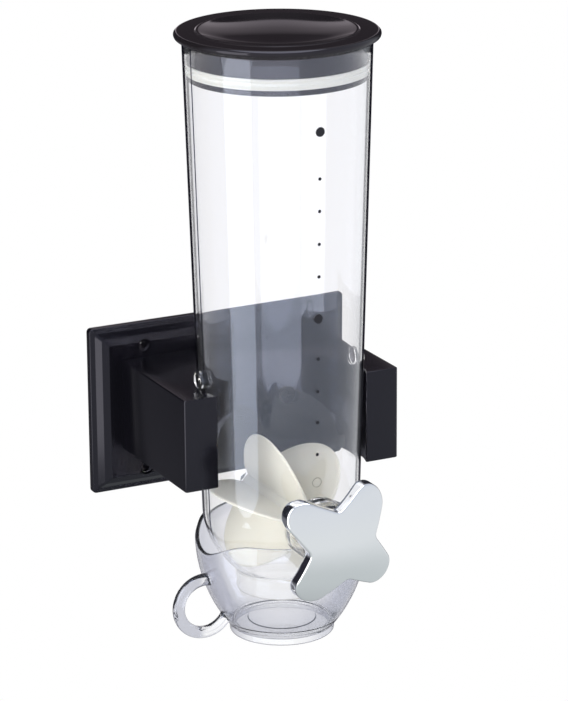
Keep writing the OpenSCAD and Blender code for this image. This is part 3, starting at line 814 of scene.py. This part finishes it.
def make_knob():
    edge = 1.2
    rings = [knob_ring(-edge, 0, s) for s in (0.0, 0.1, 0.2, 0.3, 0.4, 0.5, 0.6, 0.7, 0.8, 0.88, 0.94, 0.975)]
    for i in range(9):
        a = math.radians(90 * i / 8)
        rings.append(knob_ring(-edge + edge * math.sin(a), edge * (1 - math.cos(a))))
    # side, rounded back edge and hollow back
    levels = [(0, 3.6), (0, 5.4), (0, KNOB_T - 0.5), (-0.15, KNOB_T - 0.15), (-0.5, KNOB_T), (-1.3, KNOB_T)]
    levels += [(-1.6, KNOB_T - 0.3), (-1.6, 3.0), (-2.4, 1.6)]
    rings += [knob_ring(grow, depth) for grow, depth in levels]
    rings += [knob_ring(-2.4, 1.6, s) for s in (0.9, 0.7, 0.5, 0.3, 0.1, 0.0)]
    settle(loft("knob", rings, closed=False), CHROME, "rotor", ["knob_shell"], 50)


# ---------------------------------------------------------------- build

make_wall_plate()
make_cradle()
make_canister()
make_level_marks()
make_lid()
make_gasket()
make_cup()
make_vanes()
make_knob()

for node, material in (
    ("cradle_screws", SCREW_BLACK), ("front_bush", GREY), ("wheel_core", GREY), ("drive_shaft", STEEL),
    ("shaft_clip", STEEL), ("knob_insert", GREY), ("knob_screw", STEEL),
):
    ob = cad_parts[node]
    ob.data.materials.clear()
    ob.data.materials.append(material)


# ---------------------------------------------------------------- stage
# Metres and degrees from here on. Colours are linear.

FLOOR_Z, FLOOR_HALF, FLOOR_COLOUR = -0.420, 9.0, (0.80, 0.80, 0.80)
HEADING, ELEVATION, ROLL = -26.2446, 17.4064, -0.4276  # of the photograph's camera
CAMERA_TARGET, CAMERA_AWAY = Vector((0.002416, -0.09239, 0.05273)), 2.2036
FOCAL_PIXELS, FRAME_HEIGHT, SENSOR = 3439.16, 701, 36
MIDDLE = (0, -0.09, 0.05)

# What gloss sees from straight down (0) to straight up (1)
ROOM = (
    (0.0, (0.45, 0.48, 0.49)), (0.15, (0.56, 0.60, 0.61)), (0.36, (0.76, 0.79, 0.81)),
    (0.55, (0.74, 0.77, 0.81)), (0.75, (0.64, 0.68, 0.76)), (0.93, (0.52, 0.55, 0.62)),
    (0.965, (3.4, 3.5, 3.7)))
# The same towards the wall behind the object
BACK = (
    (0.38, (0.16, 0.16, 0.18)), (0.46, (0.020, 0.020, 0.028)), (0.80, (0.04, 0.035, 0.048)),
    (1.0, (0.30, 0.28, 0.30)))
BACK_SPAN = (0.20, 0.62)
# Pale arch behind the object: its tones from the middle (0) to its edge (0.9), its turn to
# the photograph's heading, and its size. It fades at its foot and over its rim.
ARCH = (
    (0.0, (0.040, 0.032, 0.040)), (0.34, (0.055, 0.046, 0.055)), (0.66, (0.50, 0.44, 0.48)),
    (0.88, (1.15, 1.03, 1.10)))
ARCH_TURN, ARCH_HALF_W, ARCH_MIDDLE, ARCH_HALF_H = 26.2, 0.19, 0.24, 0.42
ARCH_FOOT, ARCH_RIM, ARCH_REACH = (-0.20, -0.14), (1.02, 0.99), 0.9
# Low down straight behind
AHEAD = ((0.326, (0.17, 0.17, 0.20)), (0.334, (0.010, 0.010, 0.020)))
AHEAD_SPAN = (0.74, 0.88)
FILL_COLOUR, FILL_LEVEL = (0.95, 0.97, 1.0), 0.90
PLAIN_WHITE = (1, 1, 1)


def seen_directly(graph):
    """Two outputs: 1 for rays from the camera or through clear pieces, and 1 for rays off gloss."""
    path = graph.add("ShaderNodeLightPath", {}).outputs
    seen = graph.calc("MAXIMUM", path["Is Camera Ray"], path["Is Transmission Ray"])
    return seen, path["Is Glossy Ray"]


def make_floor():
    """Pale floor that takes the shadow, and shows white to the camera."""
    half, z = FLOOR_HALF / MM, FLOOR_Z / MM
    corners = [(-half, -half, z), (half, -half, z), (half, half, z), (-half, half, z)]
    floor = from_data("floor", corners, [(0, 1, 2, 3)])
    mat = bpy.data.materials.new("pale_floor")
    mat.use_nodes = True
    graph = Graph(mat.node_tree)
    graph.nodes.clear()
    diffuse = graph.add("ShaderNodeBsdfDiffuse", {"Color": FLOOR_COLOUR}).outputs[0]
    glow = graph.add("ShaderNodeEmission", {"Color": PLAIN_WHITE}).outputs[0]
    seen, gloss = seen_directly(graph)
    surface = graph.mix_shader(graph.calc("MAXIMUM", seen, gloss), diffuse, glow)
    graph.add("ShaderNodeOutputMaterial", {"Surface": surface})
    floor.data.materials.append(mat)
    floor.visible_glossy = False


def glossy_room(graph):
    """What gloss reflects: a pale room that is dark behind the object."""
    ray = graph.coords("Generated")
    height = graph.spread(graph.axis(ray, "Z"), -1, 1)
    depth = graph.spread(graph.axis(ray, "Y"), *BACK_SPAN, smooth=True)
    tone = graph.mix(depth, graph.ramp(height, ROOM, "EASE"), graph.ramp(height, BACK))
    # a paler arch behind, which the lid's dish mirrors
    turned = graph.turned(ray, degrees=ARCH_TURN)
    across, behind, up = (graph.axis(turned, name) for name in "XYZ")
    out = graph.length(
        graph.spread(across, 0, ARCH_HALF_W, clamp=False),
        graph.spread(up, ARCH_MIDDLE, ARCH_MIDDLE + ARCH_HALF_H, clamp=False))
    share = graph.calc(
        "MULTIPLY", graph.spread(out, *ARCH_RIM), graph.spread(up, *ARCH_FOOT, smooth=True))
    share = graph.calc("MULTIPLY", share, graph.calc("GREATER_THAN", behind, 0))
    tone = graph.mix(share, tone, graph.ramp(graph.calc("MULTIPLY", out, ARCH_REACH), ARCH))
    # grey low down straight behind, which the edges of the clear pieces mirror
    low = graph.spread(up, *reversed(ARCH_FOOT), smooth=True)
    share = graph.calc("MULTIPLY", low, graph.spread(behind, *AHEAD_SPAN, smooth=True))
    return graph.mix(share, tone, graph.ramp(height, AHEAD))


def make_world():
    """White to the camera and through clear pieces, a room to gloss, plain fill to the rest."""
    world = bpy.data.worlds.new("studio")
    bpy.context.scene.world = world
    world.use_nodes = True
    graph = Graph(world.node_tree)
    graph.nodes.clear()
    fill = graph.add("ShaderNodeBackground", {"Color": FILL_COLOUR, "Strength": FILL_LEVEL}).outputs[0]
    room = graph.add("ShaderNodeBackground", {"Color": glossy_room(graph)}).outputs[0]
    white = graph.add("ShaderNodeBackground", {"Color": PLAIN_WHITE}).outputs[0]
    seen, gloss = seen_directly(graph)
    surface = graph.mix_shader(seen, graph.mix_shader(gloss, fill, room), white)
    graph.add("ShaderNodeOutputWorld", {"Surface": surface})


def softbox(name, where, at, size, power, mirrored=False, colour=PLAIN_WHITE):
    """Rectangular lamp that shines from one point at another."""
    light = bpy.data.lights.new(name, "AREA")
    light.shape = "RECTANGLE"
    light.size, light.size_y = size
    light.energy = power
    light.color = colour
    ob = link_object(name, light)
    ob.location = where
    ob.rotation_mode = "QUATERNION"
    ob.rotation_quaternion = (Vector(at) - Vector(where)).to_track_quat("-Z", "Y")
    ob.visible_glossy = mirrored


def upright(name, heading, away, low, high, width, level, **look):
    """Tall lamp round the object, at a heading, that looks this bright."""
    a = math.radians(heading)
    middle = (low + high) / 2
    where = (math.sin(a) * away, AXIS.y * MM - math.cos(a) * away, middle)
    power = level * math.pi * width * (high - low)
    softbox(name, where, (0, AXIS.y * MM, middle), (width, high - low), power, **look)


def make_camera():
    az, el, roll = (math.radians(v) for v in (HEADING, ELEVATION, ROLL))
    back = Vector((math.sin(az) * math.cos(el), -math.cos(az) * math.cos(el), math.sin(el)))
    level = Vector((math.cos(az), math.sin(az), 0))
    up = back.cross(level)
    side_axis = level * math.cos(roll) + up * math.sin(roll)
    up_axis = up * math.cos(roll) - level * math.sin(roll)
    cam = bpy.data.cameras.new("camera")
    cam.lens = FOCAL_PIXELS / FRAME_HEIGHT * SENSOR
    cam.sensor_width = SENSOR
    cam.clip_end = 60
    ob = link_object("camera", cam)
    m = Matrix((side_axis, up_axis, back)).transposed().to_4x4()
    m.translation = CAMERA_TARGET + back * CAMERA_AWAY
    ob.matrix_world = m
    bpy.context.scene.camera = ob


make_floor()
make_world()
make_camera()
softbox("key", (-0.9, -2.0, 0.35), MIDDLE, (1.0, 1.0), 4)
softbox("side", (1.7, -0.8, 0.7), MIDDLE, (0.7, 1.4), 9)
upright("window", -76, 0.9, -0.41, 1.0, 0.585, 2.4, mirrored=True, colour=(1.0, 0.99, 0.93))
upright("front_fill", -28.7, 1.2, -0.343, 0.45, 1.32, 1.42)
bpy.context.scene.view_settings.view_transform = "Standard"
